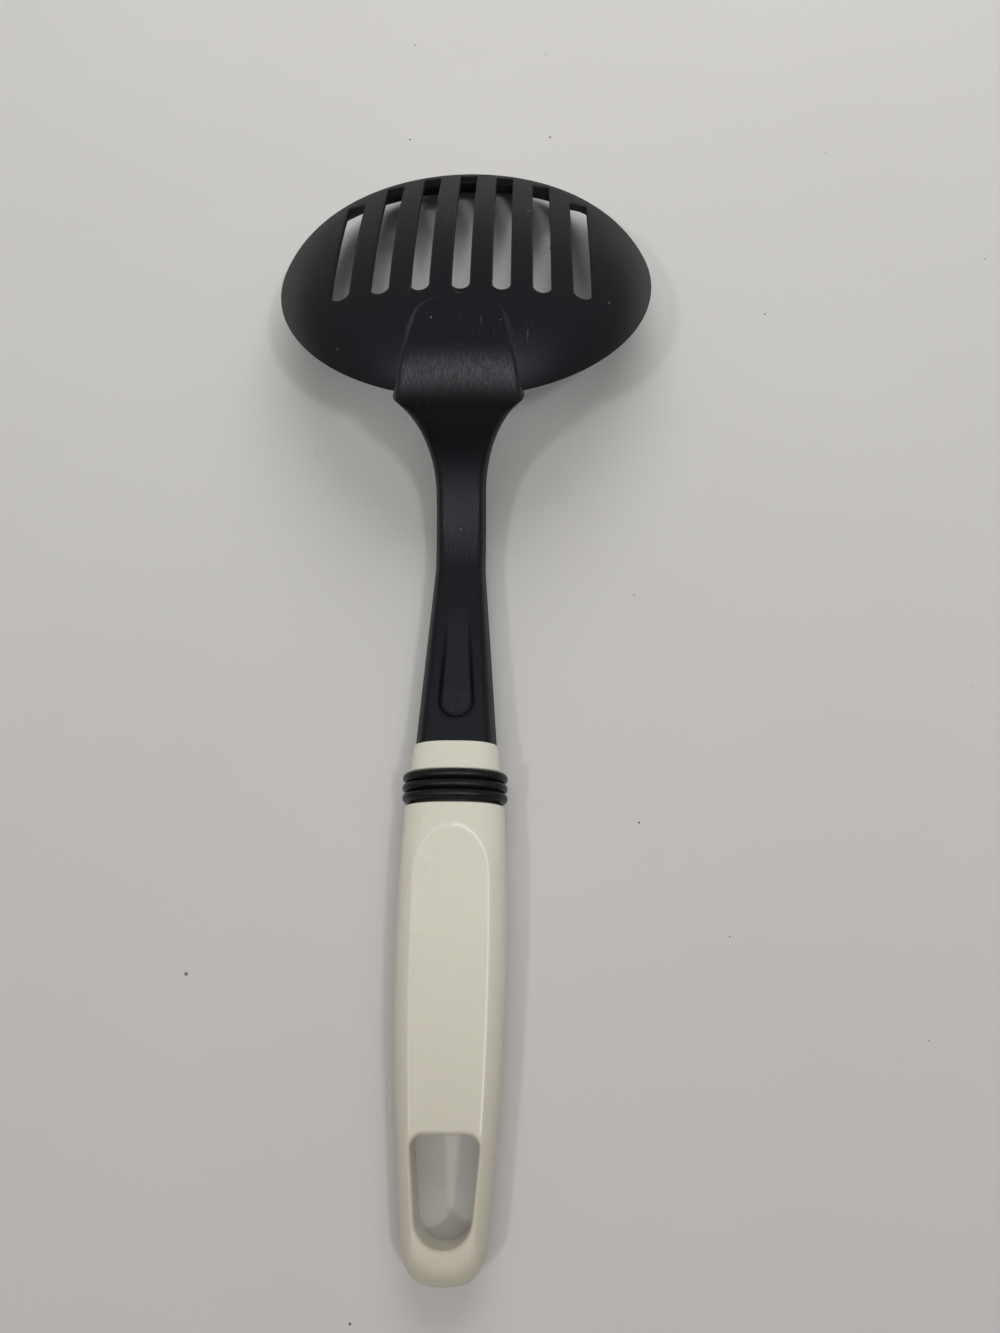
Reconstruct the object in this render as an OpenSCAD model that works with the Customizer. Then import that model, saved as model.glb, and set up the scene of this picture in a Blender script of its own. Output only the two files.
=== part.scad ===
// Slotted serving spoon: a black nylon head with a round, shallow bowl, a cream moulded handle
// pushed onto its tang, and three rubber rings in a groove of the handle.
// The spoon lies face down, as it is put away: the back of the bowl is up, +Y runs from the
// handle to the bowl, +X is to the right, and the table is at z = 0.

/* [Bowl] */
// Diameter of the bowl across its rim
bowl_d = 114.4; // [106:0.1:122]
// Depth from the rim plane to the crown of the back
bowl_depth = 16.9; // [15.5:0.1:19]
// Thickness of the bowl's wall
bowl_wall = 2.3; // [1.8:0.1:2.8]
// Outside radius between the crown and the side wall
knuckle_r = 24.5; // [21:0.5:26]
// Steepness of the side wall at the rim, in degrees
rim_angle = 61.5; // [57:0.5:65]
// Tilt of the rim plane against the handle, in degrees
bowl_tilt = 18; // [14:0.1:21]

/* [Slots] */
// Number of slots
slot_n = 7; // [3:2:7]
// Width of a slot
slot_w = 5.2; // [4.4:0.1:6]
// Distance between the middles of neighbouring slots
slot_pitch = 11.6; // [10:0.1:12]
// Distance from the tongue's tip on to the slots' round ends
slot_start = 2.8; // [2:0.1:4.5]
// Distance from the rim in to the slots' square ends
slot_margin = 15.5; // [12:0.1:17]
// Corner radius at the square ends
slot_corner_r = 1; // [0.4:0.1:1.6]

/* [Neck] */
// Width of the neck where it is narrowest
neck_w = 14.3; // [12:0.1:16]
// Thickness of the neck
neck_t = 7; // [5.5:0.1:8]
// Radius of the bend out of the shaft, on the upper face
bend_r = 41; // [37:0.5:45]
// Radius of the crest over the bowl's rim, on the upper face
crest_r = 19.4; // [17:0.2:22]
// Slope of the neck's sides, as the width lost up to the upper face, on each side
neck_draft = 1.6; // [0.6:0.1:1.8]
// Radius of the neck's long upper edges
neck_edge_r = 1.2; // [0.8:0.1:1.6]
// Width across the shoulders, where the neck meets the rim
shoulder_w = 36.4; // [32:0.2:40]
// Radius of the flare from the neck out to the shoulders
flare_r = 39; // [34:0.5:46]

/* [Tongue] */
// Height of the tongue above the back of the bowl
tongue_rise = 0.9; // [0.5:0.1:1.3]
// Distance from the rim to the point where the crest runs out on the crown
crest_in = 10.7; // [9:0.1:12.5]
// Length of the tongue from there to its tip
tongue_l = 16.5; // [14:0.1:18]
// Width that the tongue's sides taper to at its tip
tongue_w = 22; // [18:0.2:26]
// Length of the tongue's rounded tip
tongue_round = 7.5; // [5:0.5:9]

/* [Shaft] */
// Length from the handle to the bend of the neck
shaft_l = 52.1; // [46:0.5:58]
// Width of the shaft at the handle
shaft_w = 21.9; // [19:0.1:22.4]
// Thickness of the shaft at the handle
shaft_t = 11.4; // [9:0.1:12.6]
// Length of the tapered recess
recess_l = 34; // [22:0.5:34]
// Width of the recess at its round end
recess_w = 10; // [7:0.1:12]
// Width of the recess where it runs out
recess_tip_w = 6.6; // [5:0.1:8]
// Depth of the recess at its round end
recess_depth = 1.6; // [0.8:0.1:2]
// Distance from the handle to the recess
recess_gap = 6.6; // [5:0.1:10]

/* [Tang] */
// Length of the tang inside the handle
tang_l = 58; // [40:0.5:66]
// Width of the tang
tang_w = 12.6; // [10:0.1:14]
// Thickness of the tang
tang_t = 5.6; // [4:0.1:6.4]
// Clearance between the tang and its socket, on each side
tang_gap = 0.1; // [0.05:0.01:0.2]
// Free length beyond the end of the tang
tang_end_gap = 1.5; // [0.5:0.1:3]

/* [Handle] */
// Length from the rings' middle to the handle's end
grip_l = 115.2; // [108:0.1:124]
// Width of the grip where it is widest
grip_w = 28; // [26:0.1:30]
// Width of the grip just behind the rings
grip_front_w = 26; // [25.6:0.1:27]
// Width that the grip tapers to at its end
grip_tail_w = 18.8; // [17.6:0.1:21]
// Thickness over the flats, just behind the rings
grip_t = 17.8; // [17.7:0.1:18.8]
// Thickness over the flats at the tail
tail_t = 12.9; // [11.5:0.1:14]
// Length of the rounded end
tail_round = 8; // [6:0.1:8.6]
// Height that the widest part of the grip would have without its flats
crown_t = 20.4; // [19:0.1:22]
// Length of the collar in front of the rings
collar_l = 7.6; // [6:0.1:9]
// Width of the collar at its mouth
collar_w = 22.8; // [22.5:0.1:23.8]
// Width of the collar beside the rings
collar_rear_w = 24.2; // [23.8:0.1:25.4]
// Height of the collar
collar_t = 14.6; // [13.6:0.1:15.6]
// Radius of the moulded edges
edge_r = 0.8; // [0.3:0.1:1]

/* [Hanging hole] */
// Length of the hanging hole
hole_l = 23.9; // [20:0.2:28]
// Width of the hanging hole at its straight end
hole_w = 16.2; // [14:0.1:18]
// Corner radius at the straight end
hole_corner_r = 2.9; // [2:0.1:4]
// Radius of the round end
hole_end_r = 6.6; // [5:0.1:7]
// Distance from the round end to the handle's end
hole_margin = 8; // [7:0.1:12]
// Width of the bevel round the hole
hole_bevel = 1; // [0.3:0.1:1.2]

/* [Rings] */
// Thickness of a rubber ring
ring_d = 2.6; // [2.4:0.1:2.8]
// Width over a ring
ring_w = 28; // [27.6:0.1:28.8]
// Height over a ring
ring_h = 17.6; // [17:0.1:17.7]
// Clearance between a ring and what it touches
ring_gap = 0.05; // [0.03:0.01:0.1]
// Free room in the groove behind the rings
groove_spare = 0.8; // [0.2:0.1:1.2]

/* [Hidden] */

black_nylon = [0.09, 0.09, 0.1];
cream_white = [0.88, 0.87, 0.8];
black_rubber = [0.06, 0.06, 0.07];

// Overrun of every cut
over = 1;
// Turns an angle in degrees times a radius into a length of arc
arc = PI / 180;
// Sections along each stretch, and corners round a section of the handle
shaft_steps = 4;
bend_steps = 12;
crest_steps = 5;
tongue_steps = 9;
grip_steps = 18;
around = 48;
cord_sides = 12;
// The widest level of a neck's section, as a share of its thickness
parting_share = 0.4;
// The shoulders' place as a share of the crest's turn
shoulder_share = 0.15;
// How far into its rounded tip the tongue's last section lies
tip_share = 0.975;
// Exponents of the handle's rounded sections, where 2 is an ellipse
collar_power = 2.5;
grip_power = 2.3;
// The grip's widest place as a share of its length, from the rings
belly_share = 0.34;
// Height of the grip beside the rings as a share of the thickness over its flats
front_share = 0.91;
// Where the grip has swollen to its full height, as a share of its length
swell_share = 0.2;
// How much of the rounding's length at the end goes into the width and into the height
end_w_share = 0.75;
end_share = 0.75;
// Radius of a ring's bend at the sides as a share of half its height
ring_bend_share = 0.72;

// Bowl: two tangent arcs make the back's profile, the crown on the axis and the knuckle beside it
bowl_r = bowl_d / 2;
knuckle_x = bowl_r - knuckle_r * sin(rim_angle);
knuckle_z = -knuckle_r * cos(rim_angle);
knuckle_drop = knuckle_z - bowl_depth;
crown_r = (knuckle_r * knuckle_r - knuckle_x * knuckle_x - knuckle_drop * knuckle_drop)
        / (2 * (knuckle_drop + knuckle_r));
crown_z = bowl_depth - crown_r;
crown_angle = asin(knuckle_x / (crown_r - knuckle_r));
crest_back = bowl_r - crest_in;
tongue_tip = crest_back - tongue_l;
slot_back = tongue_tip - slot_start;
rim_in_r = knuckle_x + sqrt(pow(knuckle_r - bowl_wall, 2) - knuckle_z * knuckle_z);
// The tongue's hidden under side lies this far off the rim plane, inside the wall
root_lift = bowl_wall / 10;

// Handle: the rings lie round y = 0 until the whole spoon is centred
ring_n = 3;
groove_l = ring_n * ring_d + (ring_n + 1) * ring_gap;
mouth_y = groove_l / 2 + collar_l;
axis_z = grip_t / 2;

// A point of the bowl's middle plane, v ahead of its centre and w above its rim plane,
// as [y, z] measured from the tip of the rim, which rests on the table
function bowl_pt(v, w) = [
    (v - bowl_r) * cos(bowl_tilt) + w * sin(bowl_tilt),
    (bowl_r - v) * sin(bowl_tilt) + w * cos(bowl_tilt)];

function blend(a, b, t) = a + (b - a) * t;

// The crest arc is tangent to the crown, raised by the tongue's height
crest_end = asin(crest_back / (crown_r + tongue_rise)) - bowl_tilt;
crest_c = bowl_pt(0, crown_z)
        + (crown_r + tongue_rise - crest_r) * [-sin(crest_end), cos(crest_end)];

// The bend is tangent to the shaft's upper face and to the crest, which sets the bowl's place
bend_y = mouth_y + shaft_l;
bend_z = axis_z + neck_t / 2 + bend_r;
bend_rise = bend_z - crest_c[1];
bend_run = sqrt(pow(bend_r + crest_r, 2) - bend_rise * bend_rise);
bend_angle = atan2(bend_run, bend_rise);
tip_y = bend_y + bend_run - crest_c[0];
mid_y = (tip_y - grip_l) / 2;

// The neck's under face ends at the inner corner of the rim
root = [tip_y, 0] + bowl_pt(-rim_in_r, 0);
root_angle = atan2(root[0] - bend_y, bend_z - root[1]);
root_t = norm(root - [bend_y, bend_z]) - bend_r;

// The flare ends at the shoulders, on the crest
bend_l = bend_angle * bend_r * arc;
crest_l = (bend_angle - crest_end) * crest_r * arc;
shoulder_grow = (shoulder_w - neck_w) / 2;
flare_l = sqrt(flare_r * flare_r - pow(flare_r - shoulder_grow, 2));
function flare_half_w(way) = let (s = max(0, way + flare_l - bend_l - shoulder_share * crest_l))
    neck_w / 2 + flare_r - sqrt(flare_r * flare_r - s * s);

// Upper points of the crest, at a share of its turn, and of the tongue, v behind the centre
function crest_pt(t) = let (a = blend(bend_angle, crest_end, t))
    [tip_y, 0] + crest_c + crest_r * [-sin(a), cos(a)];
function tongue_pt(v) = [tip_y, 0]
    + bowl_pt(-v, crown_z + sqrt(pow(crown_r + tongue_rise, 2) - v * v));

// Half width of the tongue where its upper face is at y
shoulder_y = crest_pt(shoulder_share)[0];
end_y = tongue_pt(tongue_tip)[0];
function tongue_half_w(y) = let (into = 1 - min(1, (end_y - y) / tongue_round))
    blend(shoulder_w, tongue_w, (y - shoulder_y) / (end_y - shoulder_y)) / 2
        * sqrt(1 - into * into);

// Places of the neck's sections: [upper point, lower point, half width], each point as [y, z]
function shaft_station(t) = let (
        y = blend(mouth_y, bend_y, t),
        half_t = blend(shaft_t, neck_t, t) / 2)
    [[y, axis_z + half_t], [y, axis_z - half_t], blend(shaft_w, neck_w, t) / 2];

function bend_station(t) = let (
        a = bend_angle * t,
        b = root_angle * t,
        low_r = bend_r + blend(neck_t, root_t, t))
    [[bend_y + bend_r * sin(a), bend_z - bend_r * cos(a)],
     [bend_y + low_r * sin(b), bend_z - low_r * cos(b)],
     flare_half_w(t * bend_l)];

function crest_station(t) = let (
        high = crest_pt(t),
        low = bowl_pt(-blend(rim_in_r, crest_back, t), root_lift))
    [high, [tip_y, 0] + low,
     t > shoulder_share ? tongue_half_w(high[0]) : flare_half_w(bend_l + t * crest_l)];

function tongue_station(t) = let (
        v = blend(crest_back, tongue_tip + (1 - tip_share) * tongue_round, pow(t, 0.8)),
        high = tongue_pt(v))
    [high, [tip_y, 0] + bowl_pt(-v, root_lift), tongue_half_w(high[0])];

// Fall of the tongue's upper face from its middle to its sides
function sag(station) = station[2] * station[2] / (2 * crown_r);

// The draft grows with the width, out to the mouth of the handle and to the shoulders
function draft_at(station) = neck_draft * sqrt(2 * station[2] / neck_w);

// A section of the neck: widest at the parting level, drawn in above it, with rounded edges
function section(station, draft, edge, fall) = let (
        high = station[0],
        low = station[1],
        t = norm(high - low),
        up = (high - low) / t,
        half = station[2],
        top = half - min(draft, half / 4),
        r = min(edge, half / 4, t / 8),
        outline = concat(
            [for (a = [-90 : 30 : 0]) [top - r + r * cos(a), r + r * sin(a)]],
            [[half, parting_share * t]],
            [for (a = [0 : 22.5 : 90]) [top - r + r * cos(a), t - r + r * sin(a) - fall]],
            [[top / 3, t - fall / 9]]),
        n = len(outline))
    [for (i = [0 : 2 * n - 1]) let (p = i < n ? outline[i] : outline[2 * n - 1 - i])
        [i < n ? p[0] : -p[0], low[0] + up[0] * p[1], low[1] + up[1] * p[1]]];

// Skin over sections that follow one another, closed by a face at both ends
module skin(sections) {
    n = len(sections[0]);
    m = len(sections);
    polyhedron(
        points = [for (s = sections) each s],
        faces = concat(
            [[for (i = [n - 1 : -1 : 0]) i]],
            [for (j = [0 : m - 2], i = [0 : n - 1]) let (a = j * n + i, b = j * n + (i + 1) % n)
                each [[a, b, b + n], [a, b + n, a + n]]],
            [[for (i = [0 : n - 1]) (m - 1) * n + i]]),
        convexity = 6);
}

// Places a shape that is drawn in the bowl's own frame, with the rim's centre at the origin
module in_bowl() {
    translate([0, tip_y, 0]) rotate([-bowl_tilt, 0, 0]) translate([0, -bowl_r, 0]) children();
}

// Half of the bowl's profile, filled down to the rim plane and set in by a wall
module dish_half(inset) {
    beyond = 2 * crown_r;
    intersection() {
        union() {
            intersection() {
                translate([0, crown_z]) circle(r = crown_r - inset, $fn = 180);
                polygon([[0, crown_z],
                         [beyond * sin(crown_angle), crown_z + beyond * cos(crown_angle)],
                         [0, crown_z + beyond]]);
            }
            translate([knuckle_x, knuckle_z]) circle(r = knuckle_r - inset, $fn = 96);
        }
        square([bowl_d, bowl_d]);
    }
}

// One slot, seen on the rim plane: round at the neck's side, square with small corners ahead
module slot_outline(front) {
    side = slot_w / 2;
    r = slot_corner_r;
    polygon(concat(
        [for (a = [180 : 15 : 360]) [side * cos(a), side * sin(a) + side - slot_back]],
        [for (a = [0 : 30 : 90]) [side - r + r * cos(a), front - r + r * sin(a)]],
        [for (a = [90 : 30 : 180]) [r - side + r * cos(a), front - r + r * sin(a)]]));
}

module slots() {
    for (i = [0 : slot_n - 1]) {
        u = (i - (slot_n - 1) / 2) * slot_pitch;
        translate([u, 0, -over])
            linear_extrude(bowl_depth + 2 * over)
                slot_outline(sqrt(max(0, pow(bowl_r - slot_margin, 2) - u * u)));
    }
}

// The tapered recess in the shaft's upper face: its floor rises to nothing towards the neck
module recess() {
    r = recess_w / 2;
    run = recess_l - r;
    reach = norm([recess_tip_w / 2, run]);
    lean = atan2(recess_tip_w / 2, run) - asin(r / reach);
    slope = atan2((shaft_t - neck_t) / 2, shaft_l);
    translate([0, mouth_y + recess_gap + r, axis_z + shaft_t / 2 - recess_depth])
        rotate([atan2(recess_depth, recess_l) - slope, 0, 0])
            linear_extrude(shaft_t)
                polygon(concat(
                    [for (k = [0 : 20]) let (a = blend(180 + lean, 360 - lean, k / 20))
                        [r * cos(a), r * sin(a)]],
                    [[recess_tip_w / 2, run], [-recess_tip_w / 2, run]]));
}

module neck() {
    difference() {
        skin(concat(
            [for (i = [0 : shaft_steps - 1]) let (s = shaft_station(i / shaft_steps))
                section(s, draft_at(s), neck_edge_r, 0)],
            [for (i = [0 : bend_steps]) let (s = bend_station(pow(i / bend_steps, 0.8)))
                section(s, draft_at(s), neck_edge_r, 0)],
            [for (i = [1 : 2 * crest_steps]) let (
                    t = i <= crest_steps ? shoulder_share * i / crest_steps
                        : blend(shoulder_share, 1, i / crest_steps - 1),
                    s = crest_station(t))
                section(s, draft_at(s) * (1 - t), blend(neck_edge_r, tongue_rise / 2, t), sag(s) * t)],
            [for (i = [1 : tongue_steps]) let (s = tongue_station(i / tongue_steps))
                section(s, 0, tongue_rise / 2, sag(s))]));
        recess();
    }
}

module tang() {
    side = tang_w / 2;
    cut = tang_t / 2;
    translate([0, mouth_y - tang_l, axis_z - tang_t / 2])
        linear_extrude(tang_t)
            polygon([[cut - side, 0], [side - cut, 0], [side, cut], [side, tang_l + over],
                     [-side, tang_l + over], [-side, cut]]);
}

// The bowl's solid inside or outside, turned so that its seam lies between slots
module dish(inset) {
    in_bowl() rotate([0, 0, 90]) rotate_extrude($fn = 96) dish_half(inset);
}

module head() {
    color(black_nylon)
        translate([0, -mid_y, 0]) {
            difference() {
                difference() {
                    union() {
                        dish(0);
                        neck();
                    }
                    dish(bowl_wall);
                    in_bowl()
                        translate([0, 0, -bowl_depth])
                            cylinder(r = rim_in_r, h = bowl_depth + root_lift, $fn = 96);
                }
                in_bowl() slots();
            }
            tang();
        }
}

// Rounded section of the handle at y, and the shape of a ring's inside at y
function rounded(y, z, w, h, power) = [for (i = [0 : around - 1]) let (a = -360 * i / around)
    [w / 2 * sign(cos(a)) * pow(abs(cos(a)), 2 / power), y,
     z + h / 2 * sign(sin(a)) * pow(abs(sin(a)), 2 / power)]];

// A ring's middle line: small arcs at the sides and large arcs above and below, tangent
ring_half_w = (ring_w - ring_d) / 2;
ring_half_h = (ring_h - ring_d) / 2;
ring_side_r = ring_bend_share * ring_half_h;
ring_run = ring_half_w - ring_side_r;
ring_over_r = (ring_run * ring_run + ring_half_h * ring_half_h - ring_side_r * ring_side_r)
        / (2 * (ring_half_h - ring_side_r));
ring_turn = atan2(ring_over_r - ring_half_h, ring_run);
core_in = ring_d / 2 + ring_gap;

function core(y) = [for (i = [0 : around - 1]) let (
        a = -360 * i / around,
        side = asin(abs(sin(a))) < ring_turn,
        r = (side ? ring_side_r : ring_over_r) - core_in)
    [side ? sign(cos(a)) * ring_run + r * cos(a) : r * cos(a), y,
     axis_z + r * sin(a) + (side ? 0 : sign(sin(a)) * (ring_half_h - ring_over_r))]];

// The grip's width, its thickness over the flats and its height without them, at a share of its length
function grip_width(s) = s < belly_share
    ? blend(grip_front_w, grip_w, sin(90 * s / belly_share))
    : blend(grip_tail_w, grip_w, cos(90 * (s - belly_share) / (1 - belly_share)));
function flats(s) = blend(grip_t, tail_t, s);
function grip_height(s) = flats(s)
    * blend(front_share, crown_t / flats(belly_share), pow(sin(90 * min(1, s / swell_share)), 3.5));

function grip_section(y, inset, lift) = let (s = -y / grip_l)
    rounded(y, flats(s) / 2, grip_width(s) - 2 * inset, grip_height(s) - 2 * lift, grip_power);

module handle_body() {
    half = groove_l / 2;
    rear = half + groove_spare;
    front = rear + edge_r;
    straight = grip_l - tail_round;
    intersection() {
        skin(concat(
            [for (a = [0 : 30 : 90]) let (inset = edge_r * (1 - sin(a)))
                rounded(mouth_y - edge_r * (1 - cos(a)), axis_z,
                        collar_w - 2 * inset, collar_t - 2 * inset, collar_power)],
            [rounded(half, axis_z, collar_rear_w, collar_t, collar_power), core(half), core(-rear)],
            [for (a = [0 : 30 : 90]) let (inset = edge_r * (1 - sin(a)))
                grip_section(-rear - edge_r * (1 - cos(a)), inset, inset)],
            [for (i = [1 : grip_steps])
                grip_section(-blend(front, straight, pow(i / grip_steps, 1.5)), 0, 0)],
            [for (a = [15 : 15 : 90]) let (inset = tail_round * (1 - cos(a)))
                grip_section(-straight - tail_round * sin(a), inset * end_w_share, inset * end_share)]));
        rotate([90, 0, 90])
            translate([0, 0, -grip_w])
                linear_extrude(2 * grip_w)
                    polygon([[-grip_l - over, 0], [mouth_y + over, 0],
                             [mouth_y + over, flats(-(mouth_y + over) / grip_l)],
                             [-grip_l - over, flats(1 + over / grip_l)]]);
    }
}

// Outline of the hanging hole, widened by an amount, at a height that may lean with the upper flat
hole_y = hole_margin - grip_l;
function hole_at(wider, flat_share, lift) = let (
        side = [hole_w / 2 - hole_corner_r, hole_y + hole_l - hole_corner_r],
        end = [0, hole_y + hole_end_r],
        way = end - side,
        n = atan2(way[1], way[0]) + acos((hole_corner_r - hole_end_r) / norm(way)),
        turns = concat(
            [for (k = [0 : 10]) [end, hole_end_r + wider, blend(-180 - n, n, k / 10)]],
            [for (k = [0 : 5]) [side, hole_corner_r + wider, blend(n, 90, k / 5)]],
            [for (k = [0 : 5]) [[-side[0], side[1]], hole_corner_r + wider, blend(90, 180 - n, k / 5)]]))
    [for (q = turns) let (p = q[0] + q[1] * [cos(q[2]), sin(q[2])])
        [p[0], p[1], flat_share * flats(-p[1] / grip_l) + lift]];

module hanging_hole() {
    skin([hole_at(hole_bevel + over, 1, over), hole_at(0, 1, -hole_bevel),
          hole_at(0, 0, hole_bevel), hole_at(hole_bevel + over, 0, -over)]);
}

module handle() {
    socket_l = tang_l + tang_end_gap;
    color(cream_white)
        translate([0, -mid_y, 0])
            difference() {
                handle_body();
                translate([-tang_w / 2 - tang_gap, mouth_y - socket_l, axis_z - tang_t / 2 - tang_gap])
                    cube([tang_w + 2 * tang_gap, socket_l + over, tang_t + 2 * tang_gap]);
                hanging_hole();
            }
}

// Points along a ring's middle line with their outward directions, as [x, z, angle]
function ring_pt(i) = let (
        a = 360 * i / around,
        side = asin(min(1, abs(sin(a)))) < ring_turn)
    side ? [sign(cos(a)) * ring_run + ring_side_r * cos(a), ring_side_r * sin(a), a]
         : [ring_over_r * cos(a), ring_over_r * sin(a) + sign(sin(a)) * (ring_half_h - ring_over_r), a];

// One rubber ring, at its place counted from the front: a round cord along the middle line
module ring(place) {
    color(black_rubber)
        translate([0, (1 - place) * (ring_d + ring_gap) - mid_y, axis_z])
            polyhedron(
                points = [for (i = [0 : around - 1], k = [0 : cord_sides - 1]) let (
                        p = ring_pt(i),
                        out = ring_d / 2 * cos(360 * k / cord_sides))
                    [p[0] + out * cos(p[2]), ring_d / 2 * sin(360 * k / cord_sides), p[1] + out * sin(p[2])]],
                faces = [for (i = [0 : around - 1], k = [0 : cord_sides - 1]) let (
                        a = i * cord_sides + k,
                        b = i * cord_sides + (k + 1) % cord_sides,
                        c = (i + 1) % around * cord_sides + (k + 1) % cord_sides,
                        d = (i + 1) % around * cord_sides + k)
                    each [[a, c, b], [a, d, c]]],
                convexity = 4);
}

head();
handle();
ring(0);  // ring_front
ring(1);  // ring_middle
ring(2);  // ring_rear
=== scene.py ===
import math

import bmesh
import bpy
from mathutils import Matrix, Vector


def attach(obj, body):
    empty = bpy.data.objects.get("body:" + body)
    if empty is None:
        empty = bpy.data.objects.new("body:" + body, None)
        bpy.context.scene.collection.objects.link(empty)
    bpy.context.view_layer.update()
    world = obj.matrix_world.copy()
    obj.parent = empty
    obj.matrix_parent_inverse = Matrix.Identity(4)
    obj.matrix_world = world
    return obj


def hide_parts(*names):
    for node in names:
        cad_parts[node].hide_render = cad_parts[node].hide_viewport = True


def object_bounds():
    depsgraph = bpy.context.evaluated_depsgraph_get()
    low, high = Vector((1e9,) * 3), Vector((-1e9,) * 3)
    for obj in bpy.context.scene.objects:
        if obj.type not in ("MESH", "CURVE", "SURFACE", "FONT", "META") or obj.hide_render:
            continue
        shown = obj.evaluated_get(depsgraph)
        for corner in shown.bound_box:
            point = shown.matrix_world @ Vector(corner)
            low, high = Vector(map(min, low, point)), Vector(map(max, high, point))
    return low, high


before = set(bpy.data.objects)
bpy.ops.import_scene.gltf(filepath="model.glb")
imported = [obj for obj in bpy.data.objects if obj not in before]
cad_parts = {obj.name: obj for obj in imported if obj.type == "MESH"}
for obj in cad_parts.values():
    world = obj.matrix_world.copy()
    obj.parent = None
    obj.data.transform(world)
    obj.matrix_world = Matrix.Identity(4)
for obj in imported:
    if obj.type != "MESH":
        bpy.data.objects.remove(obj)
cad_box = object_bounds()


# The bowl: the head's round, shallow dish of black nylon, moulded in one with the neck and the
# shaft. It lies face down, so its crowned back is up and its rim leans on the table at the tip.
# The back is a flat crown that turns over a tight knuckle into the steep side wall.
mm = 0.001

bowl_d = 114.4 * mm
bowl_depth = 16.9 * mm
bowl_wall = 2.3 * mm
knuckle_r = 24.5 * mm
rim_angle = math.radians(61.5)
bowl_tilt = math.radians(18)
rim_edge_r = 0.4 * mm

bowl_r = bowl_d / 2
knuckle_x = bowl_r - knuckle_r * math.sin(rim_angle)
knuckle_z = -knuckle_r * math.cos(rim_angle)
knuckle_drop = knuckle_z - bowl_depth
crown_r = (knuckle_r ** 2 - knuckle_x ** 2 - knuckle_drop ** 2) / (2 * (knuckle_drop + knuckle_r))
crown_z = bowl_depth - crown_r
crown_angle = math.asin(knuckle_x / (crown_r - knuckle_r))


def mix(a, b, t):
    return a + (b - a) * t


def back_height(r, inset):
    """Height over the rim plane of the bowl's back, set in by inset, at a distance r from its axis."""
    if r < (crown_r - inset) * math.sin(crown_angle):
        return crown_z + math.sqrt((crown_r - inset) ** 2 - r * r)
    return knuckle_z + math.sqrt(max(0.0, (knuckle_r - inset) ** 2 - (r - knuckle_x) ** 2))


def back_profile(inset, rings=44):
    """The back's profile as (radius, height), from beside the axis out to the rim plane."""
    big, small = crown_r - inset, knuckle_r - inset
    rim = math.acos(-knuckle_z / small)
    crown = [crown_angle * (i + 0.5) / rings for i in range(rings)]
    knuckle = [mix(crown_angle, rim, i / rings) for i in range(rings + 1)]
    return ([(big * math.sin(a), crown_z + big * math.cos(a)) for a in crown]
            + [(knuckle_x + small * math.sin(a), knuckle_z + small * math.cos(a)) for a in knuckle])


def turned(profile, sides=288):
    """The rings of points that a profile of (radius, height) sweeps round the bowl's axis."""
    turns = [2 * math.pi * i / sides for i in range(sides)]
    return [[(r * math.cos(a), r * math.sin(a), w) for a in turns] for r, w in profile]


def skin(bm, rings):
    """Joins rings of points that follow one another into a closed skin, with a face at both ends."""
    rows = [[bm.verts.new(p) for p in ring] for ring in rings]
    n = len(rows[0])
    bm.faces.new(rows[0][::-1])
    bm.faces.new(rows[-1])
    for a, b in zip(rows, rows[1:]):
        for i in range(n):
            j = (i + 1) % n
            bm.faces.new((a[i], a[j], b[j], b[i]))


def put(name, data):
    """A new object in the scene, of a mesh, a light or a camera."""
    made = bpy.data.objects.new(name, data)
    bpy.context.scene.collection.objects.link(made)
    return made


def shown(name, bm):
    """A new object in the scene with the faces of a bmesh, which it uses up."""
    mesh = bpy.data.meshes.new(name)
    bm.to_mesh(mesh)
    bm.free()
    return put(name, mesh)


def body(name, *skins, place=Matrix()):
    """A new object made of closed skins, each given as its rings. It is drawn in millimetres, in
    which joining and cutting is more exact, until it is smoothed."""
    bm = bmesh.new()
    for rings in skins:
        skin(bm, rings)
    bmesh.ops.recalc_face_normals(bm, faces=bm.faces)
    bm.transform(Matrix.Scale(1 / mm, 4) @ place)
    return shown(name, bm)


def settle(piece):
    """Makes what a piece's modifiers show into its own mesh."""
    seen = piece.evaluated_get(bpy.context.evaluated_depsgraph_get())
    mesh = bpy.data.meshes.new_from_object(seen)
    piece.modifiers.clear()
    piece.data = mesh


def moulded(piece, other, way):
    """Joins another solid to a piece, or takes it away, and uses that solid up."""
    tool = piece.modifiers.new(way, "BOOLEAN")
    tool.operation = way
    tool.solver = "EXACT"
    tool.object = other
    settle(piece)
    bpy.data.objects.remove(other)


def smooth(piece, crease=math.radians(32), weld=0.001):
    """Takes a body to metres and smooths it, except at edges sharper than crease. Flats stay flat,
    and points within weld, in millimetres, become one."""
    bm = bmesh.new()
    bm.from_mesh(piece.data)
    bmesh.ops.remove_doubles(bm, verts=bm.verts, dist=weld)
    bm.transform(Matrix.Scale(mm, 4))
    for face in bm.faces:
        face.smooth = True
    for edge in bm.edges:
        edge.smooth = not edge.is_manifold or edge.calc_face_angle() < crease
    bm.to_mesh(piece.data)
    bm.free()
    weigh = piece.modifiers.new("flats", "WEIGHTED_NORMAL")
    weigh.keep_sharp = True


def eased(start, corner, end, steps=6):
    """Points that round a corner off between two points of its sides."""
    out = []
    for i in range(steps + 1):
        t = i / steps
        out.append(tuple(mix(mix(a, b, t), mix(b, c, t), t) for a, b, c in zip(start, corner, end)))
    return out


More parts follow.
